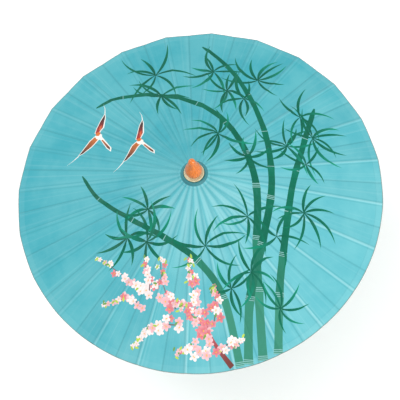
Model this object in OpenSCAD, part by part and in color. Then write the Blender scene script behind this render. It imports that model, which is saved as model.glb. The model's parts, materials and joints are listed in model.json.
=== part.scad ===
// Oil paper umbrella: bamboo ribs and stretchers, slotted wooden hub and runner, paper canopy, turned finial and grip.
// Units are millimetres. The origin is the middle of the grip, and +Z runs up the shaft to the finial.

/* [Canopy and ribs] */
// Radius of the open canopy at its rim
canopy_r = 420; // [350:1:510]
// Angle that the open ribs fall below level, in degrees
open_angle = 20; // [17:0.5:22]
// Angle that the closed ribs fall below level, in degrees
closed_angle = 86; // [85:0.5:86.5]
// Thickness of the oiled paper where it is pasted and hemmed
paper_t = 1.0; // [0.6:0.1:1.4]
// Width of a rib across its flat
rib_w = 4.6; // [3.8:0.1:5]
// Depth of a rib at the joint
rib_d = 4.4; // [4:0.1:5.2]
// Depth of a rib at its tip
rib_tip_d = 2.8; // [2.2:0.1:3.6]

/* [Stretchers] */
// Distance between the two threads of a stretcher, and from the hub thread to the rib joint
stretcher_l = 175; // [145:1:210]
// Width of a stretcher at its middle
stretcher_w = 4.2; // [3.2:0.1:4.6]
// Depth of a stretcher
stretcher_d = 3.8; // [3:0.1:4]
// Thickness of the thinned ends of ribs and stretchers
blade_t = 2.2; // [1.6:0.1:2.4]

/* [Hub and runner] */
// Radius of the thread circle in the hub and in the runner
thread_r = 22; // [21:0.5:26]
// Radius of the threads that tie the ribs
thread_w = 0.5; // [0.3:0.05:0.6]
// Wood of the slotted hub outside its thread circle
hub_wall = 5; // [4:0.5:8]
// Radius of the pale boss on top of the hub
boss_r = 22.5; // [16:0.5:24]
// Wood of the runner's slotted disc outside its thread circle
runner_wall = 4; // [3:0.5:6]
// Radius of the runner's neck
neck_r = 13.5; // [12:0.5:15]
// Length of the runner's neck below the disc
neck_l = 32; // [22:1:44]

/* [Shaft and grip] */
// Radius of the shaft
shaft_r = 7; // [6:0.25:8]
// Radius of the grip
grip_r = 12; // [11:0.5:15]
// Length of the straight grip
grip_l = 100; // [80:1:130]
// Height of the rib tips above the middle of the grip when the umbrella is closed
tip_z = 33; // [20:1:60]

/* [Finial] */
// Greatest radius of the finial
finial_r = 19; // [15:0.5:22]
// Height of the finial
finial_h = 66; // [52:1:80]

/* [Clearances] */
// Play of a thinned blade in its slot, each side
slot_gap = 0.3; // [0.2:0.05:0.5]
// Play of a thread in its hole
thread_gap = 0.1; // [0.05:0.01:0.15]
// Play of the runner on the shaft
runner_gap = 0.3; // [0.15:0.05:0.5]
// Gap between pieces that face each other
face_gap = 0.3; // [0.2:0.05:0.6]
// Play of the catch on its pivot pin
pin_gap = 0.08; // [0.04:0.01:0.1]

/* [Hidden] */
rib_count = 24;
step = 360 / rib_count;
$fn = 64;
hub_r = thread_r + hub_wall;
runner_r = thread_r + runner_wall;
slot_w = blade_t + 2 * slot_gap;
hole_r = thread_w + thread_gap;

// Grip and collar
grip_bottom = -grip_l / 2 - 4;
grip_top = grip_l / 2 + 14;
socket_bottom = -grip_l / 2 + 20;

// Rib, measured along it from the hub thread
hem = 3.5;
rib_l = (canopy_r - hem - thread_r) / cos(open_angle);
eye_r = rib_d / 2;
tenon_l = 15;
flare_l = 5;
fork_in = 10;
fork_out = 2.4 * rib_d / sin(2 * (90 - closed_angle)) / 2 + 2;
stretcher_blade = fork_out - 4;

// Runner, with its thread circle at runner_z
disc_up = 7;
disc_down = 6;
neck_end = disc_down + neck_l;
drop_open = 2 * stretcher_l * sin(open_angle);
drop_closed = 2 * stretcher_l * sin(closed_angle);
travel = drop_closed - drop_open;
bore_r = shaft_r + runner_gap;

// The thread circle of the hub is as high as the closed runner and the closed ribs need
hub_z = max(grip_top + face_gap + neck_end + drop_closed, tip_z + rib_l * sin(closed_angle));
runner_z = hub_z - drop_open;
runner_bottom = runner_z - neck_end;

// Hub
hub_down = 12;
slot_roof = eye_r + 1.4;
hub_up = slot_roof + 2.4;
boss_h = 5;
boss_top = hub_z + hub_up + boss_h;
slot_r = thread_r - eye_r - 1.6;

// Canopy: height of the paper's underside at a radius
rib_rise = eye_r / cos(open_angle) + face_gap;
canopy_in = hub_r + 3;
function under_z(r) = hub_z + rib_rise - (r - thread_r) * tan(open_angle);

// Stop peg over the runner
peg_r = 1.5;
peg_out = 3;
peg_z = runner_z + disc_up + face_gap + peg_r;

// Catch: a lever in a slot of the shaft, its nose under the runner. Its profile is measured from the shaft's axis
catch_t = 2.4;
catch_slot_w = catch_t + 2 * slot_gap;
catch_l = 26;
catch_out = 3;
catch_play = 0.8;
catch_boss = 2.1;
catch_u = shaft_r - catch_boss - 0.4;
catch_pin_r = 1;
catch_z = runner_bottom - catch_play - catch_l;
catch_slot_depth = 1.5;
lip_h = 4;
nose_gap = 0.4;

// Finial outline as height and radius shares, smoothed by a curve through them
finial_socket = 24;
finial_knots = [[0, 0.78], [0.045, 0.86], [0.12, 0.965], [0.21, 1], [0.33, 0.91], [0.47, 0.72],
                [0.61, 0.53], [0.73, 0.43], [0.83, 0.395], [0.9, 0.38], [0.955, 0.31], [0.99, 0.16], [1, 0]];
function blend4(a, b, c, d, t) =
    0.5 * (2 * b + (c - a) * t + (2 * a - 5 * b + 4 * c - d) * t * t + (3 * b - a - 3 * c + d) * t * t * t);
function knot(k, i) = k[max(0, min(len(k) - 1, i))];
function curve(k, n) = [for (i = [0:len(k) - 2], j = [0:n - 1])
    blend4(knot(k, i - 1), knot(k, i), knot(k, i + 1), knot(k, i + 2), j / n)];

function numbered(name, i) = str(name, i < 10 ? "_0" : "_", i);

module around(n) {
    for (i = [0:n - 1]) rotate([0, 0, i * 360 / n]) children();
}

// A ring of thread of radius r, or the hole for one
module ring(r, w, z) {
    translate([0, 0, z]) rotate_extrude() translate([r, 0]) circle(r = w, $fn = 24);
}

// Slots for the blades in a hub or runner, from radius slot_r outward
module blade_slots(out, low, high) {
    around(rib_count) translate([slot_r, -slot_w / 2, low]) cube([out - slot_r + 1, slot_w, high - low]);
}

// Outline of the catch in the plane of distance from the axis and height over its pivot
module catch_outline() {
    union() {
        translate([catch_u, 0]) circle(r = catch_boss, $fn = 48);
        polygon([[catch_u - catch_boss, 0], [catch_u + catch_boss, 0], [catch_u + catch_boss, catch_l - 11],
                 [shaft_r + catch_out, catch_l - 2], [shaft_r + catch_out, catch_l],
                 [catch_u - catch_boss, catch_l]]);
    }
}

module shaft() color("peru") difference() {
    translate([0, 0, socket_bottom]) cylinder(r = shaft_r, h = boss_top + finial_socket - socket_bottom);
    translate([-catch_slot_w / 2, -shaft_r - 1, catch_z - catch_boss - 1])
        cube([catch_slot_w, shaft_r + 1 + catch_slot_depth, catch_l + catch_boss + 2.2]);
    translate([-shaft_r - 1, 0, peg_z]) rotate([0, 90, 0]) cylinder(r = peg_r, h = 2 * shaft_r + 2);
    translate([-shaft_r - 1, -catch_u, catch_z]) rotate([0, 90, 0])
        cylinder(r = catch_pin_r, h = 2 * shaft_r + 2);
}

module handle() color("saddlebrown") difference() {
    rotate_extrude() polygon([
        [0, grip_bottom], [grip_r - 4, grip_bottom], [grip_r - 1.4, grip_bottom + 1.2],
        [grip_r, -grip_l / 2], [grip_r, grip_l / 2], [grip_r + 1, grip_l / 2 + 1],
        [grip_r + 1, grip_l / 2 + 4], [grip_r, grip_l / 2 + 5], [grip_r - 2.2, grip_l / 2 + 9],
        [grip_r - 2.4, grip_top], [0, grip_top]]);
    translate([0, 0, socket_bottom]) cylinder(r = shaft_r, h = grip_top - socket_bottom + 1);
}

module upper_hub() color("burlywood") difference() {
    translate([0, 0, hub_z]) rotate_extrude() polygon([
        [shaft_r, -hub_down], [hub_r - 1, -hub_down], [hub_r, 1 - hub_down], [hub_r, hub_up - 1.2],
        [hub_r - 1.2, hub_up], [boss_r, hub_up], [boss_r, hub_up + boss_h - 1],
        [boss_r - 1, hub_up + boss_h], [shaft_r, hub_up + boss_h]]);
    translate([0, 0, hub_z]) blade_slots(hub_r, -hub_down - 1, slot_roof);
    ring(thread_r, hole_r, hub_z);
}

module finial() color("chocolate") difference() {
    translate([0, 0, boss_top]) rotate_extrude() polygon(concat(
        [[0, 0]], [for (p = curve(finial_knots, 4)) [p[1] * finial_r, p[0] * finial_h]], [[0, finial_h]]));
    translate([0, 0, boss_top - 1]) cylinder(r = shaft_r, h = finial_socket + 1);
}

// Paper cap that is pasted over the hub's shoulder, round the boss, and down onto the canopy
module crown_paper() color("mediumturquoise") {
    shoulder = hub_z + hub_up + 0.1;
    foot = under_z(canopy_in + 2) + paper_t / cos(open_angle) + 0.2;
    rotate_extrude() polygon([
        [boss_r + 0.2, shoulder], [hub_r - 0.6, shoulder], [hub_r + 0.3, shoulder - 1],
        [canopy_in + 2, foot], [canopy_in + 2, foot + paper_t], [hub_r + 1.2, shoulder + 0.2],
        [hub_r - 0.2, shoulder + paper_t], [boss_r + 0.2, shoulder + paper_t]]);
}

module canopy() color("turquoise") {
    thick = paper_t / cos(open_angle);
    rotate_extrude($fn = 96) polygon([
        [canopy_in, under_z(canopy_in)], [canopy_r, under_z(canopy_r)],
        [canopy_r, under_z(canopy_r) + thick], [canopy_in, under_z(canopy_in) + thick]]);
}

// The rim cord beyond the rib tips and the thread through the rib joints
module canopy_cords() color("dimgray") {
    rim = thread_r + rib_l * cos(open_angle) + 1.6;
    ring(rim, 0.8, under_z(rim) - 1);
    ring(thread_r + stretcher_l * cos(open_angle), thread_w, hub_z - stretcher_l * sin(open_angle));
}

module hub_thread() color("ivory") ring(thread_r, thread_w, hub_z);

// The stop peg across the shaft and the pivot pin of the catch
module shaft_pins() color("tan") {
    translate([-shaft_r - peg_out, 0, peg_z]) rotate([0, 90, 0])
        cylinder(r = peg_r, h = 2 * (shaft_r + peg_out));
    pin_edge = catch_u + catch_pin_r;
    pin_l = 2 * sqrt(shaft_r * shaft_r - pin_edge * pin_edge) - 0.4;
    translate([-pin_l / 2, -catch_u, catch_z]) rotate([0, 90, 0]) cylinder(r = catch_pin_r, h = pin_l);
}

module runner() color("wheat") difference() {
    translate([0, 0, runner_z]) rotate_extrude() polygon([
        [bore_r, -neck_end], [neck_r + 0.7, -neck_end], [neck_r + 1.5, 0.8 - neck_end],
        [neck_r + 1.5, 3.2 - neck_end], [neck_r, 5 - neck_end], [neck_r, -disc_down - 2],
        [neck_r + 2, -disc_down], [runner_r - 1, -disc_down], [runner_r, 1 - disc_down],
        [runner_r, disc_up - 1], [runner_r - 1, disc_up], [bore_r, disc_up]]);
    translate([0, 0, runner_z]) blade_slots(runner_r, -neck_end, disc_up + 1);
    ring(thread_r, hole_r, runner_z);
    translate([-catch_slot_w / 2 - 0.1, -shaft_r - catch_out - nose_gap, runner_bottom + lip_h])
        cube([catch_slot_w + 0.2, shaft_r + catch_out + nose_gap, neck_end + disc_up]);
}

module runner_thread() color("ivory") ring(thread_r, thread_w, runner_z);

module catch() color("darkkhaki") translate([-catch_t / 2, 0, catch_z]) difference() {
    rotate([90, 0, 90]) mirror([1, 0, 0]) linear_extrude(catch_t) catch_outline();
    translate([-1, -catch_u, 0]) rotate([0, 90, 0]) cylinder(r = catch_pin_r + pin_gap, h = catch_t + 2);
}

// A rib lies along +X from the hub thread. It is turned down to its open angle and round to its place
module rib(i) color("goldenrod")
    rotate([0, 0, (i - 1) * step]) translate([thread_r, 0, hub_z]) rotate([0, open_angle, 0])
        difference() {
            intersection() {
                translate([0, rib_w / 2 + 1, 0]) rotate([90, 0, 0]) linear_extrude(rib_w + 2) union() {
                    circle(r = eye_r, $fn = 48);
                    polygon([[0, -eye_r], [rib_l * 0.5, -eye_r], [rib_l, eye_r - rib_tip_d], [rib_l, eye_r],
                             [0, eye_r]]);
                }
                translate([0, 0, -rib_d]) linear_extrude(2 * rib_d) polygon([
                    [-rib_d, -blade_t / 2], [tenon_l, -blade_t / 2], [tenon_l + flare_l, -rib_w / 2],
                    [rib_l * 0.6, -rib_w / 2], [rib_l + 1, -rib_w * 0.41], [rib_l + 1, rib_w * 0.41],
                    [rib_l * 0.6, rib_w / 2], [tenon_l + flare_l, rib_w / 2], [tenon_l, blade_t / 2],
                    [-rib_d, blade_t / 2]]);
            }
            translate([stretcher_l - fork_in, -slot_w / 2, -rib_d])
                cube([fork_in + fork_out, slot_w, 2 * rib_d]);
            translate([0, rib_w, 0]) rotate([90, 0, 0]) cylinder(r = hole_r, h = 2 * rib_w, $fn = 24);
            translate([stretcher_l, rib_w, 0]) rotate([90, 0, 0])
                cylinder(r = hole_r, h = 2 * rib_w, $fn = 24);
        }

// A stretcher lies along +X from the runner thread to the joint of its rib
module stretcher(i) color("khaki")
    rotate([0, 0, (i - 1) * step]) translate([thread_r, 0, runner_z]) rotate([0, -open_angle, 0])
        difference() {
            intersection() {
                translate([0, stretcher_w / 2 + 1, 0]) rotate([90, 0, 0])
                    linear_extrude(stretcher_w + 2) union() {
                        for (x = [0, stretcher_l]) translate([x, 0]) circle(r = stretcher_d / 2, $fn = 48);
                        translate([0, -stretcher_d / 2]) square([stretcher_l, stretcher_d]);
                    }
                translate([0, 0, -stretcher_d]) linear_extrude(2 * stretcher_d) polygon(concat(
                    [for (s = [-1, 1], p = s < 0
                        ? [[-3, blade_t], [stretcher_blade, blade_t], [stretcher_blade + 6, stretcher_w],
                           [stretcher_l - stretcher_blade - 6, stretcher_w],
                           [stretcher_l - stretcher_blade, blade_t], [stretcher_l + 3, blade_t]]
                        : [[stretcher_l + 3, blade_t], [stretcher_l - stretcher_blade, blade_t],
                           [stretcher_l - stretcher_blade - 6, stretcher_w],
                           [stretcher_blade + 6, stretcher_w], [stretcher_blade, blade_t], [-3, blade_t]])
                        [p[0], s * p[1] / 2]]));
            }
            for (x = [0, stretcher_l]) translate([x, stretcher_w, 0]) rotate([90, 0, 0])
                cylinder(r = hole_r, h = 2 * stretcher_w, $fn = 24);
        }

shaft();
handle();
upper_hub();
finial();
crown_paper();
canopy();
canopy_cords();
hub_thread();
shaft_pins();
runner();
runner_thread();
catch();
for (i = [1:rib_count]) {
    rib(i);
    stretcher(i);
}
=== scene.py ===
"""Oil paper umbrella: painted canopy, paper crown, cords, and finishes for bamboo, wood, thread and steel."""

import json
import logging
import math
import random
from dataclasses import dataclass, field
from enum import Enum
from typing import Any, Callable, Iterable, Sequence

import bpy
from mathutils import Matrix, Vector
from mathutils.geometry import delaunay_2d_cdt


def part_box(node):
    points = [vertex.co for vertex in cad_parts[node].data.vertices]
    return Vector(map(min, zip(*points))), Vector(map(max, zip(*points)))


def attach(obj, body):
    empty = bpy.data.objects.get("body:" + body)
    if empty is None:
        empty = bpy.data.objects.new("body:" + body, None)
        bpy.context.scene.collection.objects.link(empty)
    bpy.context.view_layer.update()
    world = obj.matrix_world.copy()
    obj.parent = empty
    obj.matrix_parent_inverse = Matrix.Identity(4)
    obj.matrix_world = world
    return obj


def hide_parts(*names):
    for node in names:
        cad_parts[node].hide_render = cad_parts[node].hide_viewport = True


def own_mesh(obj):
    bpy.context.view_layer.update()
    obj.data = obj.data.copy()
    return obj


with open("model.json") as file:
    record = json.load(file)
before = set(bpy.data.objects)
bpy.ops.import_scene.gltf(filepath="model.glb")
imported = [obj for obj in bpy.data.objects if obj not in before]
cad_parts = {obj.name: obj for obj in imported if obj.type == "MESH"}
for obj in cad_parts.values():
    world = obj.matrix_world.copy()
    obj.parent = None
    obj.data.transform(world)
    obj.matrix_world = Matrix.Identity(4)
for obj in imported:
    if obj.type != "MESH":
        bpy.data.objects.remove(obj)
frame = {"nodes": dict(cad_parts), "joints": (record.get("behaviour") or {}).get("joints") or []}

LOG = logging.getLogger("umbrella")
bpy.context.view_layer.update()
Point = tuple[float, float]
Place = tuple[float, float, float]
Colour = tuple[float, float, float]
Material, Mesh, Piece, Socket = bpy.types.Material, bpy.types.Mesh, bpy.types.Object, bpy.types.NodeSocket
BOSS_RADIUS = 0.0225  # the pale boss that the crown's paper ends at
PAPER_START = 0.0036  # how far outside the crown's solid the canopy's paper starts
CROWN_REACH = 0.0040  # how far the crown's paper reaches past its solid
CROWN_LIFT = 0.0004  # how far its foot lies above the solid's
FLOOR_GAP = 0.0005  # how far the floor lies under the grip
ON_AXIS = 1e-7  # a radius below this is a pole of a turned piece


def linear(hexa: str) -> Colour:
    """Turn a screen colour such as "5abecd" into linear red, green and blue."""
    parts = [int(hexa[i:i + 2], 16) / 255 for i in (0, 2, 4)]
    return tuple(c / 12.92 if c <= 0.04045 else ((c + 0.055) / 1.055) ** 2.4 for c in parts)


def mixed(a: Colour, b: Colour, share: float) -> Colour:
    """Mix two colours, with share 0 for the first and 1 for the second."""
    t = min(1.0, max(0.0, share))
    return tuple(x + (y - x) * t for x, y in zip(a, b))


def turned(along: float, across: float, a: float) -> Point:
    """The place in plan at a distance along and across a line that leaves the axis at an angle."""
    c, s = math.cos(a), math.sin(a)
    return along * c - across * s, along * s + across * c


def linked(name: str, data: bpy.types.ID) -> Piece:
    """Put a mesh, lamp or camera in the scene as an object."""
    piece = bpy.data.objects.new(name, data)
    bpy.context.scene.collection.objects.link(piece)
    return piece


class Val:
    """A number socket that can stand in a Python expression."""

    def __init__(self, shader: "Shader", socket: Socket) -> None:
        """Wrap one output socket of a shader."""
        self.shader, self.socket = shader, socket

    def _math(self, operation: str, a: Any, b: Any = None) -> "Val":
        """Add one Math node on one or two values."""
        values = {0: a} if b is None else {0: a, 1: b}
        return self.shader.number("ShaderNodeMath", {"operation": operation}, values)

    def __add__(self, other: Any) -> "Val":
        """self + other."""
        return self._math("ADD", self, other)

    __radd__ = __add__

    def __sub__(self, other: Any) -> "Val":
        """self - other."""
        return self._math("SUBTRACT", self, other)

    def __rsub__(self, other: Any) -> "Val":
        """other - self."""
        return self._math("SUBTRACT", other, self)

    def __mul__(self, other: Any) -> "Val":
        """self * other."""
        return self._math("MULTIPLY", self, other)

    __rmul__ = __mul__

    def __truediv__(self, other: Any) -> "Val":
        """self / other."""
        return self._math("DIVIDE", self, other)

    def fract(self) -> "Val":
        """The part after the point."""
        return self._math("FRACT", self)

    def distance(self, other: float) -> "Val":
        """How far this is from another number."""
        return self._math("ABSOLUTE", self - other)

    def step(self, low: float, high: float) -> "Val":
        """A smooth step from 0 at low to 1 at high."""
        return self.shader.number("ShaderNodeMapRange", {"interpolation_type": "SMOOTHSTEP"},
                                  {0: self, 1: low, 2: high, 3: 0.0, 4: 1.0})


class Shader:
    """One material, with its Principled shader at hand."""

    def __init__(self, name: str, **fixed: Any) -> None:
        """Make the material; fixed holds Principled values that are the same all over, by socket name."""
        self.material = bpy.data.materials.new(name)
        self.material.use_nodes = True
        self.tree = self.material.node_tree
        self.tree.nodes.clear()
        out = self.tree.nodes.new("ShaderNodeOutputMaterial")
        self.main = self.tree.nodes.new("ShaderNodeBsdfPrincipled")
        self.tree.links.new(self.main.outputs[0], out.inputs[0])
        for key, value in fixed.items():
            self.main.inputs[key.replace("_", " ")].default_value = value

    def node(self, kind: str, settings: dict[str, Any], values: dict[Any, Any]) -> bpy.types.Node:
        """Add a node.

        Args:
            kind: the node's type.
            settings: its own settings, set first; "stops" gives a ramp's places and colours.
            values: what goes into each socket, by name or number.

        Returns:
            The node.
        """
        node = self.tree.nodes.new(kind)
        for key, value in settings.items():
            if key == "stops":
                ramp = node.color_ramp.elements
                while len(ramp) < len(value):
                    ramp.new(0.5)
                for stop, (place, colour) in zip(ramp, value):
                    stop.position, stop.color = place, (*colour, 1.0)
            else:
                setattr(node, key, value)
        for key, value in values.items():
            if isinstance(value, Val):
                self.tree.links.new(value.socket, node.inputs[key])
            elif isinstance(value, Socket):
                self.tree.links.new(value, node.inputs[key])
            elif isinstance(value, tuple) and len(value) == 3 and node.inputs[key].type == "RGBA":
                node.inputs[key].default_value = (*value, 1.0)
            else:
                node.inputs[key].default_value = value
        return node

    def number(self, kind: str, settings: dict[str, Any], values: dict[Any, Any], out: Any = 0) -> Val:
        """Add a node and take one number output."""
        return Val(self, self.node(kind, settings, values).outputs[out])

    def place(self, scale: Place = (1, 1, 1), turn: float = 0.0) -> Socket:
        """Object coordinates, turned about Z and then scaled."""
        coords = self.node("ShaderNodeTexCoord", {}, {}).outputs["Object"]
        about_z = self.node("ShaderNodeMapping", {}, {"Vector": coords, "Rotation": (0.0, 0.0, turn)})
        return self.node("ShaderNodeMapping", {}, {"Vector": about_z.outputs[0], "Scale": scale}).outputs[0]

    def noise(self, where: Socket, scale: float, detail: float = 3.0, rough: float = 0.5) -> Val:
        """Noise from 0 to 1 at a scale in features per metre."""
        return self.number("ShaderNodeTexNoise", {},
                           {"Vector": where, "Scale": scale, "Detail": detail, "Roughness": rough})

    def blend(self, share: Any, a: Any, b: Any) -> Socket:
        """Mix two colours by a share."""
        return self.node("ShaderNodeMix", {"data_type": "RGBA"}, {0: share, 6: a, 7: b}).outputs[2]

    def ramp(self, share: Val, stops: Sequence[tuple[float, Colour]]) -> Socket:
        """A colour ramp."""
        return self.node("ShaderNodeValToRGB", {"stops": stops}, {0: share}).outputs[0]

    def surface(self, colour: Any, rough: Any, height: Val | None = None, depth: float = 0.0003) -> None:
        """Feed the base colour, the roughness and a bump of the given depth in metres."""
        for key, value in (("Base Color", colour), ("Roughness", rough)):
            if isinstance(value, Val):
                value = value.socket
            if isinstance(value, Socket):
                self.tree.links.new(value, self.main.inputs[key])
            else:
                self.main.inputs[key].default_value = (*value, 1.0) if key == "Base Color" else value
        if height is not None:
            bump = self.node("ShaderNodeBump", {}, {"Height": height, "Distance": depth, "Strength": 1.0})
            self.tree.links.new(bump.outputs[0], self.main.inputs["Normal"])


@dataclass(frozen=True)
class OiledPaper:
    """Dyed and oiled mulberry paper, with its fibres, folds and pasted hem, and painted light: a paler side
    towards the key lamp, a painted highlight round the middle on the -Y side and along the ridges, and
    painted shade beside and over the ribs and in the folds.
    """

    dye: Colour = linear("52a4ad")
    deep: Colour = linear("3a99a5")
    pale: Colour = linear("a0cdd0")
    shade: Colour = linear("3c8890")
    cap: tuple[Colour, Colour] | None = None
    cap_rim: float = 0.0305
    rim: float = 0.42
    hem_wide: float = 0.014
    ribs: int = 24

    def material(self, name: str, painted: bool) -> Material:
        """Make the paper.

        Args:
            name: the material's name.
            painted: whether the "paint" attribute is laid over the dye.

        Returns:
            The material.
        """
        s = Shader(name, Coat_Weight=0.03, Coat_Roughness=0.35, Specular_IOR_Level=0.14)
        flat = s.place((1, 1, 0))
        radius = s.number("ShaderNodeVectorMath", {"operation": "LENGTH"}, {0: flat}, "Value")
        parts = s.node("ShaderNodeSeparateXYZ", {}, {0: flat})
        x, y = Val(s, parts.outputs[0]), Val(s, parts.outputs[1])
        angle = s.number("ShaderNodeMath", {"operation": "ARCTAN2"}, {0: y, 1: x})
        beat = (angle * (self.ribs / (2 * math.pi)) + 0.5).fract().distance(0.5)
        pitch = radius * (2 * math.pi / self.ribs)
        mottle = s.noise(s.place(), 9.0, 5.0, 0.6)
        ray = s.node("ShaderNodeVectorMath", {"operation": "NORMALIZE"}, {0: flat}).outputs[0]
        wash = s.noise(ray, 42.0, 4.0, 0.65)
        fibre = s.noise(s.place((1.0, 6.0, 1.0), 0.9), 210.0, 4.0, 0.7)
        colour = s.blend(mottle.step(0.35, 0.68), self.dye, self.deep)
        # Painted light: side is 1 towards the key lamp, at +X and -Y, and the paper there is painted paler;
        # the wash streaks mixed in are the paper's own tone.
        side = (x * 0.6 - y).step(-0.15, 0.4)
        colour = s.blend(side * 0.14 + wash.step(0.5, 0.75) * 0.16, colour, self.pale)
        colour = s.blend(fibre.step(0.6, 0.8) * 0.12, colour, self.pale)
        # Painted highlight: round the middle on the -Y side, the paper between the ribs is painted paler, as
        # glare.
        middle_glare = (1.0 - radius.step(0.07, 0.27)) * (1.0 - y.step(-0.09, 0.07))
        colour = s.blend(middle_glare * (beat.step(0.08, 0.4) * 0.34 + 0.06), colour, self.pale)
        # Painted shade: round the middle the paper over each rib is painted darker, as the ribs' shade seen
        # through the paper.
        middle = 1.0 - radius.step(0.05, 0.2)
        colour = s.blend(middle * (1.0 - beat.step(0.02, 0.3)) * 0.24, colour, self.shade)
        # Painted shade: rib is a dark line just beside each rib's ridge and fold a dark line along each fold,
        # both blended towards the shade colour; fold also sinks the fold in the bump below.
        rib = (1.0 - (beat * pitch).distance(0.0048).step(0.0, 0.0026)) * radius.step(0.06, 0.14)
        fold = (1.0 - ((0.5 - beat) * pitch).step(0.0, 0.0032)) * radius.step(0.06, 0.16)
        colour = s.blend(rib * 0.34 + fold * 0.46, colour, self.shade)
        # Painted highlight: ridge is a pale line along each rib's top, paler on the side towards the key
        # lamp.
        ridge = (1.0 - (beat * pitch).step(0.001, 0.0036)) * radius.step(0.05, 0.12)
        colour = s.blend(ridge * (side * 0.3 + 0.05), colour, self.pale)
        edge = radius.step(self.rim - self.hem_wide - 0.002, self.rim - self.hem_wide)
        colour = s.blend(edge * 0.06, colour, self.pale)
        rough = 0.42 + mottle * 0.16
        if self.cap:
            dark = s.blend(mottle.step(0.35, 0.68), self.cap[0], self.cap[1])
            colour = s.blend(radius.step(self.cap_rim, self.cap_rim + 0.0008), dark, colour)
        if painted:
            paint = s.node("ShaderNodeAttribute", {"attribute_name": "paint"}, {})
            drag = s.noise(s.place((1.0, 0.3, 1.0)), 160.0, 3.0, 0.6)
            worn = Val(s, paint.outputs["Alpha"]) * (1.0 - drag.step(0.6, 0.78) * 0.05)
            shade = s.blend(drag.step(0.4, 0.7) * 0.03, paint.outputs["Color"], self.dye)
            colour = s.blend(worn, colour, shade)
            rough = rough - worn * 0.08
        height = fibre * 0.35 + mottle * 0.5 + edge * 0.9 - fold * 0.8
        s.surface(colour, rough, height, 0.0006)
        return s.material


@dataclass(frozen=True)
class SplitBamboo:
    """Split bamboo with its long fibres and darker joints."""

    pale: Colour = linear("d8b67c")
    dark: Colour = linear("a87a3f")
    joint_every: float = 0.128

    def material(self, name: str, turn: float, along: str = "X") -> Material:
        """Make bamboo whose fibres run along X after a turn about Z, or along Z."""
        s = Shader(name, Specular_IOR_Level=0.4)
        stretch = (9.0, 260.0, 260.0) if along == "X" else (260.0, 260.0, 9.0)
        fibre = s.noise(s.place(stretch, turn), 4.0, 4.0, 0.6)
        patch = s.noise(s.place((1, 1, 1), turn), 26.0, 2.0)
        parts = s.node("ShaderNodeSeparateXYZ", {}, {0: s.place((1, 1, 1), turn)})
        run = Val(s, parts.outputs[along])
        joint = 1.0 - (run / self.joint_every).fract().distance(0.5).step(0.0, 0.022)
        bright = mixed(self.pale, (1, 1, 1), 0.2)
        colour = s.ramp(fibre, [(0.3, self.dark), (0.62, self.pale), (0.85, bright)])
        colour = s.blend(patch.step(0.4, 0.8) * 0.35, colour, self.dark)
        colour = s.blend(joint * 0.55, colour, mixed(self.dark, (0, 0, 0), 0.45))
        s.surface(colour, 0.45 + fibre * 0.2, fibre + joint * 1.5, 0.0004)
        return s.material


@dataclass(frozen=True)
class TurnedWood:
    """Lathe-turned wood: grain along the axis, tool rings round it, bare or under varnish."""

    light: Colour
    dark: Colour
    gloss: float = 0.5
    coat: float = 0.0
    figure: float = 0.4

    def material(self, name: str) -> Material:
        """Make the wood."""
        s = Shader(name, Coat_Weight=self.coat, Coat_Roughness=0.12)
        grain = s.noise(s.place((120.0, 120.0, 9.0)), 3.0, 5.0, 0.65)
        figure = s.noise(s.place((1, 1, 0.25)), 60.0, 3.0)
        rings = s.noise(s.place((0.0, 0.0, 1.0)), 900.0, 2.0)
        bright = mixed(self.light, (1, 1, 1), 0.12)
        colour = s.ramp(grain, [(0.3, self.dark), (0.6, self.light), (0.85, bright)])
        colour = s.blend(figure.step(0.45, 0.75) * self.figure, colour, self.dark)
        s.surface(colour, self.gloss + grain * 0.12, grain * 0.6 + rings * 0.4, 0.00025)
        return s.material


@dataclass(frozen=True)
class TwistedCord:
    """Cotton cord with a twist, lighter on its strands; waxed and undyed unless told otherwise."""

    light: Colour = linear("e8dcc0")
    dark: Colour = linear("b59f74")

    def material(self, name: str) -> Material:
        """Make the cord."""
        s = Shader(name)
        twist = s.number("ShaderNodeTexWave", {"bands_direction": "DIAGONAL"},
                         {"Vector": s.place(), "Scale": 260.0, "Distortion": 1.5, "Detail": 1.0}, "Fac")
        fuzz = s.noise(s.place(), 1400.0, 2.0)
        colour = s.ramp(twist, [(0.1, self.dark), (0.7, self.light)])
        s.surface(colour, 0.75 + fuzz * 0.2, twist + fuzz * 0.3, 0.0003)
        return s.material


@dataclass(frozen=True)
class DrawnSteel:
    """Grey drawn wire and strip with fine scratches."""

    tone: Colour = (0.42, 0.41, 0.38)

    def material(self, name: str) -> Material:
        """Make the steel."""
        s = Shader(name, Metallic=1.0)
        scratch = s.noise(s.place((900.0, 90.0, 900.0)), 1.0, 3.0, 0.7)
        stain = s.noise(s.place(), 300.0, 3.0)
        colour = s.blend(stain.step(0.5, 0.8) * 0.4, self.tone, (0.2, 0.15, 0.1))
        s.surface(colour, 0.28 + scratch * 0.25, scratch, 0.0001)
        return s.material


def finished(name: str, mesh: Mesh, material: Material, body: str) -> Piece:
    """Link a mesh as a piece that rides on a body and takes a material."""
    piece = linked(name, mesh)
    mesh.materials.clear()
    mesh.materials.append(material)
    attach(piece, body)
    return piece


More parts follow.
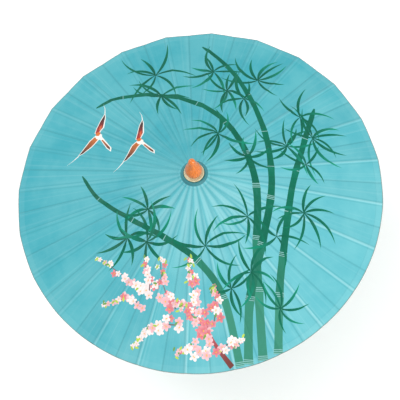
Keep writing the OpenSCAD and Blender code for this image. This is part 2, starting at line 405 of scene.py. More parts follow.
def lathe(name: str, outline: Sequence[Point], sides: int,
          lift: Callable[[float, float], float] = lambda r, a: 0.0) -> Mesh:
    """Turn an outline about Z.

    Args:
        name: the mesh's name.
        outline: radius and height of each point, in order; one at radius 0 closes to a pole, and
            an outline with no pole is closed to its start.
        sides: how many sides the turned piece has.
        lift: how far a point at a radius and an angle is raised.

    Returns:
        The mesh, with its faces outward.
    """
    verts, rows = [], []
    for r, z in outline:
        if r < ON_AXIS:
            rows.append([len(verts)])
            verts.append((0.0, 0.0, z))
            continue
        rows.append(list(range(len(verts), len(verts) + sides)))
        for k in range(sides):
            a = 2 * math.pi * k / sides
            verts.append((*turned(r, 0.0, a), z + lift(r, a)))
    pairs = list(zip(rows, rows[1:]))
    if min(outline[0][0], outline[-1][0]) > ON_AXIS:
        pairs.append((rows[-1], rows[0]))
    faces = []
    for low, high in pairs:
        for k in range(sides):
            n = (k + 1) % sides
            if len(low) == 1 and len(high) > 1:
                faces.append((low[0], high[n], high[k]))
            elif len(high) == 1 and len(low) > 1:
                faces.append((low[k], low[n], high[0]))
            elif len(low) > 1:
                faces.append((low[k], low[n], high[n], high[k]))
    mesh = bpy.data.meshes.new(name)
    mesh.from_pydata(verts, [], faces)
    mesh.update()
    mesh.shade_smooth()
    return mesh


def smooth_path(points: Sequence[Sequence[float]], steps: int) -> list[tuple[float, ...]]:
    """Put a smooth curve through points, with so many steps between each two."""
    out = []
    for i in range(len(points) - 1):
        a, b, c, d = (points[max(0, min(len(points) - 1, j))] for j in (i - 1, i, i + 1, i + 2))
        for j in range(steps):
            t = j / steps
            out.append(tuple(0.5 * (2 * q + (r - p) * t + (2 * p - 5 * q + 4 * r - s) * t * t
                                    + (3 * q - p - 3 * r + s) * t ** 3) for p, q, r, s in zip(a, b, c, d)))
    out.append(tuple(points[-1]))
    return out


@dataclass
class Stroke:
    """One dab or line of paint: an outline in shares of the canopy's radius, and its colours."""

    outline: list[Point]
    near: Colour
    far: Colour
    start: Point
    reach: float
    cover: float = 1.0

    def colour(self, at: Point) -> tuple[float, float, float, float]:
        """The paint at a place: its near colour at its start, going over to its far colour."""
        share = math.dist(at, self.start) / self.reach
        return (*mixed(self.near, self.far, share), self.cover)


def ribbon(path: Sequence[Point], width: Callable[[float], float]) -> list[Point]:
    """The outline of a brush line along a path, with its width given by the share of the way along."""
    left, right = [], []
    for i, p in enumerate(path):
        a, b = path[max(0, i - 1)], path[min(len(path) - 1, i + 1)]
        d = math.hypot(b[0] - a[0], b[1] - a[1]) or 1.0
        w = width(i / (len(path) - 1)) / 2
        n = (-(b[1] - a[1]) / d * w, (b[0] - a[0]) / d * w)
        left.append((p[0] + n[0], p[1] + n[1]))
        right.append((p[0] - n[0], p[1] - n[1]))
    return left + right[::-1]


class Blossom(Enum):
    """The tints of the blossoms: petal edge and petal heart."""

    WHITE = ("ece6e2", "e6c8c6")
    BLUSH = ("e6c2c4", "dc989e")
    CORAL = ("dd8f94", "c8505d")


@dataclass
class Painting:
    """A brushed picture of bamboo, blossom and two small birds. Places are shares of the canopy's radius."""

    seed: int = 11
    ink: Colour = linear("004f3c")
    leaf_green: Colour = linear("006d52")
    light_green: Colour = linear("108a6e")
    grey_green: Colour = linear("3f8873")
    bud: Colour = linear("b9cf4a")
    bark: Colour = linear("6d3a35")
    strokes: list[Stroke] = field(default_factory=list)

    def __post_init__(self) -> None:
        """Start the run of random numbers."""
        self.rng = random.Random(self.seed)

    def leaf(self, base: Point, angle: float, length: float, bend: float, width: float) -> None:
        """Paint one slender leaf from its base, in degrees and shares of the radius."""
        path = []
        for i in range(11):
            t = i / 10
            a = math.radians(angle + bend * t)
            path.append((base[0] + length * t * math.cos(a), base[1] + length * t * math.sin(a)))

        def swell(t: float) -> float:
            """The leaf's width: narrow at its base, full before its middle, and drawn to a point."""
            full = 0.12 + 0.95 * math.sin(math.pi * min(1, t * 1.02) ** 0.8)
            return width * full * (1.0 if t < 0.97 else 0.25)

        outline = ribbon(path, swell)
        far = self.leaf_green if self.rng.random() < 0.7 else self.light_green
        self.strokes.append(Stroke(outline, self.ink, far, base, length * 1.1))

    def spray(self, base: Point, heading: float, leaves: int, length: float, spread: float = 290) -> None:
        """Paint a fan of leaves about a heading."""
        curl = self.rng.choice((-1, 1))
        for i in range(leaves + 1):
            curl = -curl if self.rng.random() < 0.3 else curl
            angle = heading + spread * (i / leaves - 0.5) + self.rng.uniform(-9, 9)
            size = length * self.rng.uniform(0.8, 1.25)
            self.leaf(base, angle, size, curl * self.rng.uniform(12, 42), self.rng.uniform(0.0115, 0.0175))

    def stalk(self, points: Sequence[Point], tip: float, foot: float, joints: int, greyed: float) -> None:
        """Paint a bamboo stalk from its tip to its foot, in lengths with a thin gap at each joint."""
        path = smooth_path(points, 14)
        count = len(path) - 1
        for k in range(joints):
            i, j = round(count * k / joints), round(count * (k + 1) / joints)
            part = smooth_path(path[i:j + 1], 1)
            low, high = tip + (foot - tip) * i / count, tip + (foot - tip) * j / count
            blunt = 0.25 if k == 0 else 1.0
            outline = ribbon(part, lambda t: ((low + (high - low) * t) * (1.0 + 0.16 * (2 * t - 1) ** 4)
                                              * min(1.0, blunt + 2.5 * t)))
            mid = (i + j) / 2 / count
            tone = mixed(self.ink, self.leaf_green, 0.25 + 0.25 * self.rng.random())
            grey = (mid - 1 + greyed) / greyed * 0.8 if mid > 1 - greyed else 0.0
            tone = mixed(tone, self.grey_green, grey)
            self.strokes.append(Stroke(outline, mixed(tone, self.light_green, 0.15), tone, part[0], 0.08))
            for back in (0.004, 0.013, 0.022) if mid > 0.45 else (0.004,):
                a, b = outline[len(part) - 1], outline[len(part)]
                lean = (part[-1][0] - part[-2][0], part[-1][1] - part[-2][1])
                size = back / math.hypot(*lean)
                line = [(p[0] - lean[0] * size, p[1] - lean[1] * size) for p in (a, b)]
                mark = mixed(self.grey_green, (1, 1, 1), 0.25)
                self.strokes.append(Stroke(ribbon(line, lambda t: 0.0035), mark, mark, line[0], 1.0, 0.5))

    def petals(self, centre: Point, size: float, tint: Blossom) -> None:
        """Paint a five-petalled blossom with a yellow heart."""
        edge, heart = (linear(c) for c in tint.value)
        turn = self.rng.uniform(0, 72)
        for k in range(5):
            a = math.radians(turn + 72 * k)
            mid = (centre[0] + 0.55 * size * math.cos(a), centre[1] + 0.55 * size * math.sin(a))
            tone = mixed(edge, heart, self.rng.uniform(0.0, 0.45))
            long, wide = size * self.rng.uniform(0.46, 0.6), size * self.rng.uniform(0.3, 0.42)
            self.dab(mid, long, wide, math.degrees(a), heart, tone, centre, self.rng.uniform(0.82, 0.96))
        for _ in range(3):
            off = tuple(c + self.rng.uniform(-0.2, 0.2) * size for c in centre)
            self.dab(off, size * 0.11, size * 0.11, 0, linear("e3b23c"), linear("c98a2a"), off)

    def dab(self, centre: Point, long: float, wide: float, turn: float, near: Colour, far: Colour,
            start: Point, cover: float = 1.0) -> None:
        """Paint an oval dab."""
        outline = []
        for k in range(10):
            a = 2 * math.pi * k / 10
            x, y = turned(long * math.cos(a), wide * math.sin(a), math.radians(turn))
            outline.append((centre[0] + x, centre[1] + y))
        self.strokes.append(Stroke(outline, near, far, start, long * 2.2, cover))

    def raceme(self, points: Sequence[Point], flowers: int, width: float,
               tints: tuple[int, int, int]) -> None:
        """Paint a spray of blossoms on a twig, with buds and young leaves towards its tip.

        Args:
            points: the twig's path, from its tip.
            flowers: how many blossoms it carries.
            width: how far they stray from the twig.
            tints: how often each tint comes, in the order of Blossom.
        """
        path = smooth_path(points, 12)
        twig = ribbon(path, lambda t: 0.003 + 0.004 * t)
        self.strokes.append(Stroke(twig, self.leaf_green, self.bark, path[0], 0.1, 0.8))
        for k in range(flowers):
            t = (k + self.rng.random() * 0.8) / flowers
            x, y = path[min(len(path) - 1, int(t * (len(path) - 1)))]
            spot = (x + self.rng.gauss(0, width * (0.35 + t)), y + self.rng.gauss(0, width * (0.35 + t)))
            size = self.rng.uniform(0.8, 1.1) * (0.012 + 0.012 * min(1.0, 1.6 * t))
            self.petals(spot, size, self.rng.choices(list(Blossom), tints)[0])
            if t < 0.3 or self.rng.random() < 0.22:
                tip = (spot[0] + self.rng.uniform(-0.024, 0.01), spot[1] + self.rng.uniform(-0.02, 0.02))
                young = mixed(self.bud, self.leaf_green, self.rng.choice((0.1, 0.3, 0.7)))
                edge = mixed(young, self.leaf_green, 0.4)
                self.dab(tip, 0.012, 0.0055, self.rng.uniform(0, 180), young, edge, tip)

    def bird(self, at: Point, turn: float, size: float) -> None:
        """Paint a small bird in flight: two wings, a body, a forked tail and a pale edge."""
        def put(points: Iterable[Point]) -> list[Point]:
            """Turn and move an outline to the bird's place."""
            spun = [turned(x, y, math.radians(turn)) for x, y in points]
            return [(at[0] + size * x, at[1] + size * y) for x, y in spun]

        brown, rust, cream, red = (linear(h) for h in ("42241f", "cf6f26", "e6e2da", "b8302c"))
        shapes = (
            ([(0.0, 0.09), (0.29, 0.34), (0.45, 0.79), (0.47, 1.03), (0.2, 0.72), (-0.14, 0.22)],
             cream, cream),
            ([(0.0, 0.13), (0.24, 0.36), (0.41, 0.78), (0.45, 0.97), (0.2, 0.68), (-0.11, 0.22)], red, brown),
            ([(0.06, 0.24), (0.16, 0.3), (0.24, 0.5), (0.12, 0.44)], rust, red),
            ([(-0.1, 0.12), (-0.42, -0.01), (-1.0, -0.53), (-0.82, -0.52), (-0.4, -0.35), (0.03, -0.09)],
             cream, cream),
            ([(-0.12, 0.08), (-0.4, -0.04), (-0.95, -0.51), (-0.8, -0.49), (-0.4, -0.31), (0.0, -0.06)],
             rust, brown),
            ([(0.0, -0.1), (0.12, -0.08), (0.36, -0.72), (0.3, -0.88), (0.17, -0.66)], cream, cream),
            ([(0.05, -0.2), (0.11, -0.2), (0.31, -0.68), (0.28, -0.79), (0.19, -0.62)], rust, brown),
            ([(-0.16, 0.08), (0.0, 0.18), (0.13, 0.04), (0.1, -0.14), (-0.02, -0.14), (-0.12, -0.06)],
             cream, cream),
            ([(-0.1, 0.2), (0.04, 0.22), (0.1, 0.12), (0.0, 0.04), (-0.1, 0.08)], rust, red))
        for points, near, far in shapes:
            self.strokes.append(Stroke(put(points), near, far, at, size * 0.8, 0.97))
        for root, end in (((0.46, 1.0), (0.5, 1.45)), ((-0.98, -0.53), (-1.5, -0.7))):
            line = ribbon(put([root, ((root[0] + end[0]) / 2 + 0.03, (root[1] + end[1]) / 2), end]),
                          lambda t: 0.0045 * (1.1 - t))
            self.strokes.append(Stroke(line, cream, cream, at, size))

    def compose(self) -> list[Stroke]:
        """Paint the whole picture and return its strokes, the lowest first."""
        self.stalk([(0.72, 0.35), (0.61, 0.12), (0.5, -0.12), (0.4, -0.4), (0.32, -0.64), (0.24, -0.965)],
                   0.026, 0.044, 6, 0.4)
        self.stalk([(-0.46, 0.62), (-0.32, 0.64), (-0.14, 0.6), (0.04, 0.51), (0.18, 0.38), (0.27, 0.2),
                    (0.31, 0.0), (0.3, -0.18), (0.24, -0.44), (0.2, -0.68), (0.155, -0.98)],
                   0.018, 0.047, 9, 0.3)
        self.stalk([(0.19, 0.88), (0.3, 0.71), (0.38, 0.48), (0.42, 0.22), (0.41, 0.0), (0.37, -0.18),
                    (0.27, -0.42), (0.15, -0.68), (0.075, -0.985)], 0.02, 0.047, 8, 0.25)
        self.stalk([(-0.6, 0.21), (-0.53, 0.04), (-0.37, -0.14), (-0.22, -0.28), (-0.07, -0.44),
                    (0.02, -0.65), (0.03, -0.99)], 0.016, 0.042, 6, 0.45)
        for base, heading, leaves, length in (
                ((-0.1, 0.74), 110, 7, 0.2), ((-0.09, 0.58), 250, 7, 0.17), ((0.22, 0.68), 150, 7, 0.16),
                ((0.27, 0.53), 200, 7, 0.15), ((0.35, 0.46), 260, 5, 0.16), ((0.45, 0.58), 60, 7, 0.17),
                ((0.17, 0.24), 170, 8, 0.17), ((0.3, 0.07), 260, 6, 0.15), ((0.52, 0.12), 100, 8, 0.16),
                ((0.67, 0.16), 20, 8, 0.19), ((0.63, 0.3), 60, 5, 0.17), ((0.6, 0.0), 300, 5, 0.15),
                ((-0.28, -0.11), 60, 7, 0.17), ((-0.42, -0.22), 230, 7, 0.16), ((-0.32, -0.27), 280, 8, 0.18),
                ((-0.02, -0.37), 80, 6, 0.19), ((0.23, -0.26), 170, 6, 0.17), ((0.53, -0.27), 20, 8, 0.18),
                ((0.07, -0.6), 150, 6, 0.15), ((0.19, -0.54), 70, 7, 0.16), ((0.3, -0.74), 30, 7, 0.16),
                ((0.36, -0.38), 10, 4, 0.16)):
            self.spray(base, heading, leaves, length)
        trunk = smooth_path([(-0.1, -0.75), (-0.085, -0.83), (-0.05, -0.91), (-0.012, -0.985)], 6)
        branch = ribbon(trunk, lambda t: 0.012 + 0.018 * t)
        self.strokes.append(Stroke(branch, linear("b4545c"), self.bark, trunk[0], 0.22))
        pale, mid, deep = (6, 3, 1), (3, 4, 2), (1, 3, 6)
        for points, flowers, width, tints in (
                ([(-0.6, -0.27), (-0.5, -0.38), (-0.42, -0.47), (-0.36, -0.5)], 18, 0.013, pale),
                ([(-0.35, -0.36), (-0.34, -0.44), (-0.36, -0.52)], 12, 0.016, pale),
                ([(-0.27, -0.38), (-0.28, -0.48), (-0.27, -0.58), (-0.24, -0.64)], 19, 0.018, mid),
                ([(-0.62, -0.52), (-0.54, -0.52), (-0.46, -0.53), (-0.42, -0.58)], 13, 0.011, mid),
                ([(-0.5, -0.77), (-0.42, -0.72), (-0.33, -0.7), (-0.25, -0.72)], 20, 0.018, pale),
                ([(-0.12, -0.42), (-0.12, -0.52), (-0.14, -0.63), (-0.12, -0.74)], 26, 0.018, mid),
                ([(-0.21, -0.6), (-0.17, -0.68), (-0.12, -0.76), (-0.09, -0.84)], 22, 0.024, deep),
                ([(-0.02, -0.58), (-0.03, -0.66), (-0.06, -0.76)], 15, 0.015, deep),
                ([(-0.28, -0.87), (-0.2, -0.85), (-0.12, -0.89)], 15, 0.018, mid),
                ([(0.07, -0.86), (0.02, -0.87), (-0.05, -0.87)], 11, 0.013, pale)):
            self.raceme(points, flowers, width, tints)
        self.bird((-0.47, 0.42), 4, 0.14)
        self.bird((-0.25, 0.3), 12, 0.135)
        return self.strokes


@dataclass
class Canopy:
    """The paper canopy: for each rib the strip glued on it, and a leaf on each side out to the fold."""

    ribs: int
    radius: float
    inner: float
    under_rim: float
    slope: float
    paper: float = 0.0008
    ridge_half: float = 0.00475
    ridge_high: float = 0.0016
    pane_fall: float = 0.13
    scallop: float = 0.0026
    sink: float = 0.0006
    folded_strip: float = 0.0024
    folded_rim: float = 0.0066
    sink_over: float = 0.004
    fade_over: float = 0.008
    flat_length: float = 1.08
    hems: tuple[float, ...] = (0.966, 0.75, 0.5, 0.28, 0.14)

    @property
    def half(self) -> float:
        """Half the angle between two ribs."""
        return math.pi / self.ribs

    @property
    def leaf_width(self) -> float:
        """Width of a leaf at the rim, from the glued strip to the fold."""
        return self.radius * math.tan(self.half) - self.ridge_half

    def local(self, x: float, y: float) -> tuple[int, float, float]:
        """Which rib a place belongs to, and the place along and across that rib."""
        k = round(math.atan2(y, x) / (2 * self.half)) % self.ribs
        return k, *turned(x, y, -2 * self.half * k)

    def height(self, x: float, y: float) -> float:
        """Height of the paper's top over a place: ridges on the ribs, flat panes, and shallow folds."""
        _, along, across = self.local(x, y)
        side = abs(across)
        base = self.under_rim + (self.radius - along) * self.slope + self.paper
        pane = max(0.0, side - self.ridge_half)
        width = max(1e-6, along * math.tan(self.half) - self.ridge_half)
        fall = self.pane_fall * pane + self.sink * min(1.0, pane / self.sink_over)
        lifted = self.ridge_high * (1 - min(1.0, side / self.ridge_half)) if side < self.ridge_half else 0.0
        return base + lifted - fall * min(1.0, width / self.fade_over)

    def rim_at(self, share: float) -> float:
        """How far along its rib the rim lies, at a share of the way from the rib to the fold."""
        end = self.radius * math.cos(self.half) ** 2 + self.scallop
        return self.radius + (end - self.radius) * share * (0.35 + 0.65 * share)

    def rim_points(self) -> list[Point]:
        """The rim all the way round, in plan."""
        out = []
        for k in range(self.ribs):
            for j in range(-5, 5):
                share = abs(j) / 5
                along = self.rim_at(share)
                across = math.copysign(share * along * math.tan(self.half), j)
                out.append(turned(along, across, 2 * self.half * k))
        return out

    def plan(self, strokes: Sequence[Stroke]) -> tuple[list[Vector], list[list[int]], list[list[int]]]:
        """Cut the plan of the canopy into triangles that no ridge, fold or edge of paint crosses.

        Args:
            strokes: the painting's strokes.

        Returns:
            The points, the triangles, and for each triangle the strokes that it lies in.
        """
        verts, edges, faces = [], [], []

        def add(points: Sequence[Point], closed: bool) -> None:
            """Add a chain of points and its edges."""
            first = len(verts)
            verts.extend(Vector(p) for p in points)
            ids = list(range(first, len(verts)))
            edges.extend(zip(ids, ids[1:]))
            if closed:
                edges.append((ids[-1], ids[0]))

        rim = self.rim_points()
        add(rim, True)
        for hem in self.hems:
            add([(x * hem, y * hem) for x, y in rim[::5]], True)
        add([turned(self.inner, 0.0, self.half * k) for k in range(2 * self.ribs)], True)
        reach = (self.inner * 0.98, self.radius * 1.001)
        for k in range(self.ribs):
            a = 2 * self.half * k
            for across in (-self.ridge_half, 0.0, self.ridge_half):
                add([turned(r, across, a) for r in reach], False)
            add([turned(r, 0.0, a + self.half) for r in reach], False)
        for stroke in strokes:
            outline = [(x * self.radius, y * self.radius) for x, y in stroke.outline]
            area = sum(a[0] * b[1] - b[0] * a[1] for a, b in zip(outline, outline[1:] + outline[:1]))
            if area < 0:
                outline = outline[::-1]
            first = len(verts)
            verts.extend(Vector(p) for p in outline)
            faces.append(list(range(first, len(verts))))
        points, _, triangles, _, _, within = delaunay_2d_cdt(verts, edges, faces, 0, 1e-6)
        return points, triangles, within

    def inside(self, x: float, y: float) -> bool:
        """Whether a place is on the paper."""
        _, along, across = self.local(x, y)
        share = min(1.0, abs(across) / (along * math.tan(self.half)))
        return math.hypot(x, y) > self.inner * 0.995 and along < self.rim_at(share) + 1e-5

    def build(self, strokes: Sequence[Stroke], paper: Material) -> list[Piece]:
        """Make every leaf of paper.

        Args:
            strokes: the painting's strokes.
            paper: the painted paper.

        Returns:
            For each rib in turn: a leaf, the glued strip, and the leaf on its other side.
        """
        points, triangles, within = self.plan(strokes)
        LOG.info("canopy plan: %d points, %d triangles", len(points), len(triangles))
        shares: list[list[tuple[list[int], list[int]]]] = [[] for _ in range(3 * self.ribs)]
        for tri, inside in zip(triangles, within):
            x = sum(points[i].x for i in tri) / 3
            y = sum(points[i].y for i in tri) / 3
            if self.inside(x, y):
                k, _, across = self.local(x, y)
                side = (across > self.ridge_half) - (across < -self.ridge_half)
                shares[3 * k + 1 + side].append((tri, inside))
        return [self.leaf(n, points, share, strokes, paper) for n, share in enumerate(shares)]

    def leaf(self, n: int, points: Sequence[Vector], share: Sequence[tuple[list[int], list[int]]],
             strokes: Sequence[Stroke], paper: Material) -> Piece:
        rib, index, verts, tops, paints = f"rib_{n // 3 + 1:02d}", {}, [], [], []
        for tri, inside in share:
            a, b, c = (points[i] for i in tri)
            turn = (b.x - a.x) * (c.y - a.y) - (c.x - a.x) * (b.y - a.y)
            if abs(turn) < 1e-12:
                continue
            ids = tri if turn > 0 else tri[::-1]
            for i in ids:
                if i not in index:
                    index[i] = len(verts)
                    verts.append((points[i].x, points[i].y, self.height(points[i].x, points[i].y)))
            tops.append(tuple(index[i] for i in ids))
            paints.append(strokes[max(inside)] if inside else None)
        count = len(verts)
        verts += [(x, y, z - self.paper) for x, y, z in verts]
        used: dict[tuple[int, int], int] = {}
        for face in tops:
            for e in zip(face, face[1:] + face[:1]):
                used[e] = used.get(e, 0) + 1
        walls = [(a, b) for (a, b) in used if (b, a) not in used]
        faces = tops + [tuple(i + count for i in f[::-1]) for f in tops]
        faces += [(b, a, a + count, b + count) for a, b in walls]
        mesh = bpy.data.meshes.new(f"canopy_{('leaf_a', 'strip', 'leaf_b')[n % 3]}_{n // 3 + 1:02d}")
        mesh.from_pydata(verts, [], faces)
        layer = mesh.color_attributes.new("paint", "FLOAT_COLOR", "CORNER")
        values = []
        for n_face, polygon in enumerate(mesh.polygons):
            stroke = paints[n_face % len(tops)] if n_face < 2 * len(tops) else None
            for v in polygon.vertices:
                at = (verts[v][0] / self.radius, verts[v][1] / self.radius)
                values.extend(stroke.colour(at) if stroke else (0.0, 0.0, 0.0, 0.0))
        layer.data.foreach_set("color", values)
        mesh.shade_flat()
        piece = finished(mesh.name, mesh, paper, rib)
        area = sum(p.area for p in mesh.polygons) / 2
        width = 2 * math.hypot(self.ridge_half, self.ridge_high) if n % 3 == 1 else self.leaf_width
        length = (self.radius - self.inner) * self.flat_length
        area = min(area, width * length)
        return piece

    def across(self, k: int) -> Vector:
        """The level direction square to a rib."""
        return Vector((*turned(0.0, 1.0, 2 * self.half * k), 0.0))

    def pane_axis(self, k: int, side: int) -> Vector:
        """The direction across the pane on a side of a rib: square to the rib, and falling with the paper."""
        a, tilt = 2 * self.half * k, math.atan(self.slope)
        up = Vector((*turned(math.sin(tilt), 0.0, a), math.cos(tilt)))
        return (self.across(k) * side - up * self.pane_fall * math.cos(tilt)).normalized()

    def folded(self) -> Place:
        """How the paper narrows when folded: the strip's share, a leaf's share, and the leaf's still line."""
        share = (self.folded_rim - self.folded_strip) / self.leaf_width
        still = (self.folded_strip - self.ridge_half * share) / (1 - share)
        return self.folded_strip / self.ridge_half, share, still

    def ridge_point(self, k: int, along: float = 0.2) -> Vector:
        """A point of the glued line between a rib and its paper."""
        x, y = turned(along, 0.0, 2 * self.half * k)
        return Vector((x, y, self.under_rim + (self.radius - along) * self.slope))


@dataclass
class Crown:
    """The pleated paper cap over the hub's shoulder, round the pale boss."""

    boss: float
    hub: float
    foot: float
    top: float
    foot_z: float
    paper: float = 0.0008
    least_share: float = 0.31

    def build(self, paper: Material) -> Piece:
        """Make the cap and put it in place of its plain solid."""
        outer = [(self.boss + 0.0003, self.top), (self.hub - 0.0016, self.top),
                 (self.hub - 0.0002, self.top - 0.0004), (self.hub + 0.0008, self.top - 0.0018),
                 (self.hub + 0.0022, self.top - 0.0042), (self.foot - 0.001, self.foot_z + 0.0014),
                 (self.foot, self.foot_z + 0.0003)]
        outline = [*[(r, z - self.paper) for r, z in outer], *outer[::-1]]

        def pleat(r: float, a: float) -> float:
            """Raise the paper in small pleats that grow outward from the boss."""
            grow = max(0.0, min(1.0, (r - self.boss) / (self.foot - self.boss)))
            return 0.00035 * grow * math.cos(24 * a)

        piece = finished("crown_cap", lathe("crown_cap", outline, 192, pleat), paper, "stick")
        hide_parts("crown_paper")
        area = sum(p.area for p in piece.data.polygons) / 2
        2 * self.foot
        2 * self.foot
        max(area, self.least_share * 4 * self.foot ** 2)
        return piece


@dataclass
class CordMaker:
    """Cords laid along given lines by a node tree: a round section swept along each line."""

    sides: int = 8

    def tree(self) -> bpy.types.NodeTree:
        """Build the tree, with its radius and its material as inputs."""
        tree = bpy.data.node_groups.new("lay_cord", "GeometryNodeTree")
        face = tree.interface
        face.new_socket("Geometry", in_out="INPUT", socket_type="NodeSocketGeometry")
        face.new_socket("Radius", in_out="INPUT", socket_type="NodeSocketFloat")
        face.new_socket("Finish", in_out="INPUT", socket_type="NodeSocketMaterial")
        face.new_socket("Geometry", in_out="OUTPUT", socket_type="NodeSocketGeometry")
        kinds = ("NodeGroupInput", "GeometryNodeMeshToCurve", "GeometryNodeCurvePrimitiveCircle",
                 "GeometryNodeCurveToMesh", "GeometryNodeRealizeInstances", "GeometryNodeSetMaterial",
                 "NodeGroupOutput")
        start, line, ring, sweep, real, dress, end = (tree.nodes.new(k) for k in kinds)
        ring.inputs["Resolution"].default_value = self.sides
        sweep.inputs["Fill Caps"].default_value = True
        for out, name, into, socket in (
                (start, "Geometry", line, 0), (start, "Radius", ring, "Radius"), (line, 0, sweep, "Curve"),
                (ring, 0, sweep, "Profile Curve"), (sweep, 0, real, 0), (real, 0, dress, "Geometry"),
                (start, "Finish", dress, "Material"), (dress, 0, end, 0)):
            tree.links.new(out.outputs[name], into.inputs[socket])
        return tree

    def lay(self, tree: bpy.types.NodeTree, name: str, line: Sequence[Place], radius: float,
            finish: Material) -> Mesh:
        """Lay a cord along a line and return it as a plain mesh."""
        mesh = bpy.data.meshes.new(name + "_line")
        mesh.from_pydata(line, [(i, i + 1) for i in range(len(line) - 1)], [])
        guide = linked(name + "_line", mesh)
        modifier = guide.modifiers.new("lay", "NODES")
        modifier.node_group = tree
        ids = {i.name: i.identifier for i in tree.interface.items_tree if i.in_out == "INPUT"}
        modifier[ids["Radius"]] = radius
        modifier[ids["Finish"]] = finish
        bpy.context.view_layer.update()
        made = bpy.data.meshes.new_from_object(guide.evaluated_get(bpy.context.evaluated_depsgraph_get()))
        made.name = name
        bpy.data.objects.remove(guide)
        made.shade_smooth()
        return made


@dataclass
class Edging:
    """The rim cord in the hem and the thread through the rib joints, in a length for each rib."""

    canopy: Canopy
    joint_radius: float
    joint_height: float
    rim_thick: float = 0.0008
    thread_thick: float = 0.0005
    sag: float = 0.0016
    knot: float = 0.0035
    bow: float = 0.00856
    inset: float = 0.0003
    folded_span: float = 0.04

    def spans(self, a: float) -> list[list[Place]]:
        """Lines of the joint thread: straight through the rib at an angle, and slack on each side of it."""
        end = self.joint_radius * math.tan(self.canopy.half)

        def at(across: float) -> Place:
            """A point of the thread at a distance across the rib."""
            drop = self.sag * max(0.0, abs(across) - self.knot) / (end - self.knot)
            along = self.joint_radius * (1 - self.bow * (across / end) ** 2)
            return *turned(along, across, a), self.joint_height - drop

        return [[at(u + (v - u) * j / 6) for j in range(7)]
                for u, v in ((-self.knot, self.knot), (-end, -self.knot), (self.knot, end))]

    def rim_point(self, a: float, share: float) -> Place:
        """A point of the rim cord, at a share of the way from the rib at an angle to the fold beside it."""
        c = self.canopy
        along = c.rim_at(abs(share)) - self.inset
        x, y = turned(along, share * along * math.tan(c.half), a)
        return x, y, c.height(x, y) - c.paper * 0.5

    def rims(self, a: float) -> list[list[Place]]:
        """Lines of the rim cord at the rib at an angle: in one leaf, in the strip, in the other leaf."""
        glued = self.canopy.ridge_half / (self.canopy.radius * math.tan(self.canopy.half))
        beside = [glued + (1 - glued) * j / 6 for j in range(7)]
        return [[self.rim_point(a, share) for share in shares]
                for shares in ([-share for share in beside[::-1]], (-glued, 0.0, glued), beside)]

    def build(self, rim: Material, thread: Material) -> list[list[Piece]]:
        """Lay the cords under every leaf of paper.

        Args:
            rim: the rim cord's finish.
            thread: the joint thread's finish.

        Returns:
            For each rib: the rim cord in three pieces, the thread through the rib, and its two spans.
        """
        maker, pieces = CordMaker(), []
        tree = maker.tree()
        kinds = ((self.rims, ("rim_cord_a", "rim_cord_glued", "rim_cord_b"), self.rim_thick, rim, "cord"),
                 (self.spans, ("joint_thread", "thread_span_a", "thread_span_b"), self.thread_thick, thread,
                  "thread"))
        for k in range(self.canopy.ribs):
            laid = []
            for lines, names, thick, finish, slot in kinds:
                for name, line in zip(names, lines(2 * self.canopy.half * k)):
                    mesh = maker.lay(tree, f"{name}_{k + 1:02d}", line, thick, finish)
                    laid.append(finished(mesh.name, mesh, finish, f"rib_{k + 1:02d}"))
            pieces.append(laid)
        return pieces

    def fold(self, leaves: Sequence[Piece], cords: Sequence[Sequence[Piece]]) -> None:
        """Give each leaf of paper, each length of rim cord and each slack span of thread a mesh of its own;
        where and how far each would narrow is worked out, but not used.

        Args:
            leaves: the canopy's pieces, three for each rib.
            cords: the cords' pieces, a list for each rib.
        """
        c = self.canopy
        strip_keep, leaf_keep, still = c.folded()
        for k, (edge_a, edge, edge_b, _, span_a, span_b) in enumerate(cords):
            ridge, across = c.ridge_point(k), c.across(k)
            rows = []
            for side, pieces in ((-1, (leaves[3 * k], edge_a)), (1, (leaves[3 * k + 2], edge_b))):
                fall = c.pane_axis(k, side)
                rows += [(piece, fall, still, leaf_keep) for piece in pieces]
            rows += [(leaves[3 * k + 1], across, 0.0, strip_keep), (edge, across, 0.0, strip_keep),
                     (span_a, across, -self.knot, self.folded_span),
                     (span_b, across, self.knot, self.folded_span)]
            for piece, axis, shift, keep in rows:
                anchor = tuple(ridge + axis * shift)
                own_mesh(piece)


@dataclass
class FinialKnob:
    """The turned and varnished knob on top, with its fine cut lines."""

    base: float
    radius: float
    tall: float
    cut: float = 0.0005
    cut_width: float = 0.008

    def build(self, wood: Material) -> Piece:
        """Turn the knob and put it in place of its faceted solid."""
        shape = [(0.0, 0.74), (0.045, 0.84), (0.12, 0.96), (0.21, 1.0), (0.33, 0.93), (0.47, 0.77),
                 (0.61, 0.6), (0.73, 0.5), (0.83, 0.44), (0.9, 0.4), (0.955, 0.3), (0.99, 0.15), (1.0, 0.0)]
        outline = [(0.0, self.base)]
        for h, r in smooth_path(shape, 8):
            cut = self.cut * max(math.exp(-((h - m) / self.cut_width) ** 2) for m in (0.1, 0.56, 0.88))
            wide = r * self.radius - (cut if r > 0.1 else 0.0)
            outline.append((max(0.0, wide), self.base + h * self.tall))
        piece = finished("finial_knob", lathe("finial_knob", outline, 96), wood, "stick")
        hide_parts("finial")
        return piece


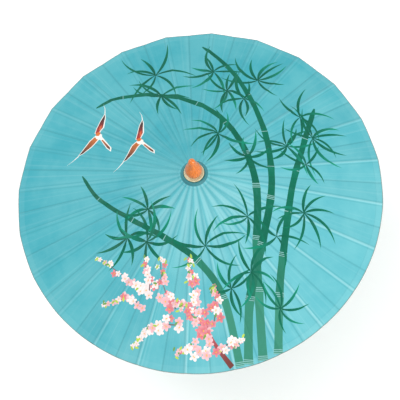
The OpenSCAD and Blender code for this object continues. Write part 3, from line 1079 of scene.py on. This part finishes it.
@dataclass
class Frame:
    """The finishes of the CAD pieces: bamboo by the angle of each rib, wood, thread and steel."""

    ribs: int

    def dress(self, material: Material, *nodes: str) -> None:
        """Put a material on CAD nodes."""
        for node in nodes:
            mesh = frame["nodes"][node].data
            mesh.materials.clear()
            mesh.materials.append(material)

    def build(self) -> None:
        """Dress every CAD piece that shows."""
        bamboo = SplitBamboo()
        for k in range(self.ribs):
            material = bamboo.material(f"split_bamboo_{k + 1:02d}", -2 * math.pi * k / self.ribs)
            self.dress(material, f"rib_{k + 1:02d}", f"stretcher_{k + 1:02d}")
        pole = SplitBamboo(linear("cfa468"), linear("9b6c34"), 0.171)
        pale = TurnedWood(linear("cdc7a6"), linear("a79a74"), 0.5)
        grip = TurnedWood(linear("8a4b22"), linear("54270f"), 0.3, 0.6)
        self.dress(pole.material("shaft_bamboo", 0.0, "Z"), "shaft")
        self.dress(pale.material("pale_wood"), "upper_hub", "runner")
        self.dress(grip.material("grip_wood"), "handle")
        self.dress(TwistedCord().material("waxed_thread"), "hub_thread", "runner_thread")
        self.dress(DrawnSteel().material("drawn_steel"), "shaft_pins", "catch")


@dataclass
class Studio:
    """Camera, floor and soft light."""

    target: Place
    distance: float = 4.2
    elevation: float = 67.8
    roll: float = 11.75
    lens: float = 164.6

    def camera(self) -> None:
        """Look down on the canopy from the front, rolled to the right."""
        data = bpy.data.cameras.new("camera")
        data.lens, data.sensor_width = self.lens, 36.0
        data.shift_x, data.shift_y = 0.002, -0.006
        view = linked("camera", data)
        e = math.radians(self.elevation)
        spot = Vector(self.target) + self.distance * Vector((0.0, -math.cos(e), math.sin(e)))
        view.matrix_world = (Matrix.Translation(spot) @ Matrix.Rotation(math.pi / 2 - e, 4, "X")
                             @ Matrix.Rotation(-math.radians(self.roll), 4, "Z"))
        bpy.context.scene.camera = view

    def lamp(self, name: str, at: Place, size: float, power: float, tint: Colour) -> None:
        """Hang a square soft lamp that faces the canopy."""
        data = bpy.data.lights.new(name, "AREA")
        data.size, data.energy, data.color = size, power, tint
        lamp = linked(name, data)
        lamp.location = at
        lamp.rotation_euler = (Vector(self.target) - Vector(at)).to_track_quat("-Z", "Y").to_euler()

    def floor(self, level: float) -> None:
        """Lay a wide pale floor."""
        mesh = bpy.data.meshes.new("floor")
        mesh.from_pydata([(-9, -9, level), (9, -9, level), (9, 9, level), (-9, 9, level)], [], [(0, 1, 2, 3)])
        s = Shader("floor_white")
        s.surface((0.93, 0.93, 0.925), 0.9)
        mesh.materials.append(s.material)
        linked("floor", mesh)

    def light(self) -> None:
        """Set the lamps and the sky."""
        self.lamp("key", (2.3, -2.5, 1.7), 1.0, 96.0, (1.0, 0.98, 0.95))
        self.lamp("fill", (-1.6, 1.4, 3.0), 2.6, 70.0, (0.96, 0.98, 1.0))
        world = bpy.data.worlds.new("studio")
        bpy.context.scene.world = world
        world.use_nodes = True
        world.node_tree.nodes["Background"].inputs[0].default_value = (1.0, 1.0, 1.0, 1.0)
        world.node_tree.nodes["Background"].inputs[1].default_value = 0.86
        bpy.context.scene.view_settings.view_transform = "Standard"


def main() -> None:
    """Build the umbrella's pieces in order and report each."""
    logging.basicConfig(level=logging.INFO, format="%(name)s: %(message)s")
    low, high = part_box("canopy")
    ribs = sum(1 for n in frame["nodes"] if n.startswith("rib_"))
    studio = Studio((0.0, 0.0, low[2]))
    studio.camera()
    studio.floor(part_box("handle")[0][2] - FLOOR_GAP)
    studio.light()

    fold = next(j for j in frame["joints"] if j["name"] == "rib_01_fold")
    joint = next(j for j in frame["joints"] if j["name"] == "stretcher_01_fold")
    hinge, knee = fold["pos_m"], joint["pos_m"]
    slope = (hinge[2] - knee[2]) / (knee[0] - hinge[0])
    cap_low, cap_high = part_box("crown_paper")
    radius = high[0]
    canopy = Canopy(ribs, radius, cap_high[0] + PAPER_START, low[2], slope)
    strokes = Painting().compose()
    LOG.info("painting: %d strokes", len(strokes))
    paper = OiledPaper(rim=radius).material("painted_paper", True)
    leaves = canopy.build(strokes, paper)
    LOG.info("canopy: %d leaves", len(leaves))
    foot_z = cap_low[2] + CROWN_LIFT - CROWN_REACH * slope
    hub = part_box("upper_hub")[1][0]
    crown = Crown(BOSS_RADIUS, hub, cap_high[0] + CROWN_REACH, cap_high[2], foot_z)
    crown.build(OiledPaper(cap=(linear("3f7f86"), linear("326f77")), rim=1.0).material("crown_paper", False))
    LOG.info("crown cap")
    rim = TwistedCord(linear("7d8f88"), linear("4b5a55")).material("rim_cord")
    thread = TwistedCord().material("joint_thread")
    edging = Edging(canopy, knee[0], knee[2])
    cords = edging.build(rim, thread)
    LOG.info("edging: %d ribs", len(cords))
    edging.fold(leaves, cords)
    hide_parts("canopy")
    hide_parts("canopy_cords")
    knob_low, knob_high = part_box("finial")
    wood = TurnedWood(linear("d9720e"), linear("b4560c"), 0.28, 0.5, 0.2).material("varnished_wood")
    FinialKnob(knob_low[2], knob_high[0], knob_high[2] - knob_low[2]).build(wood)
    LOG.info("finial knob")
    Frame(ribs).build()
    LOG.info("frame finishes")


if __name__ == "__main__":
    main()
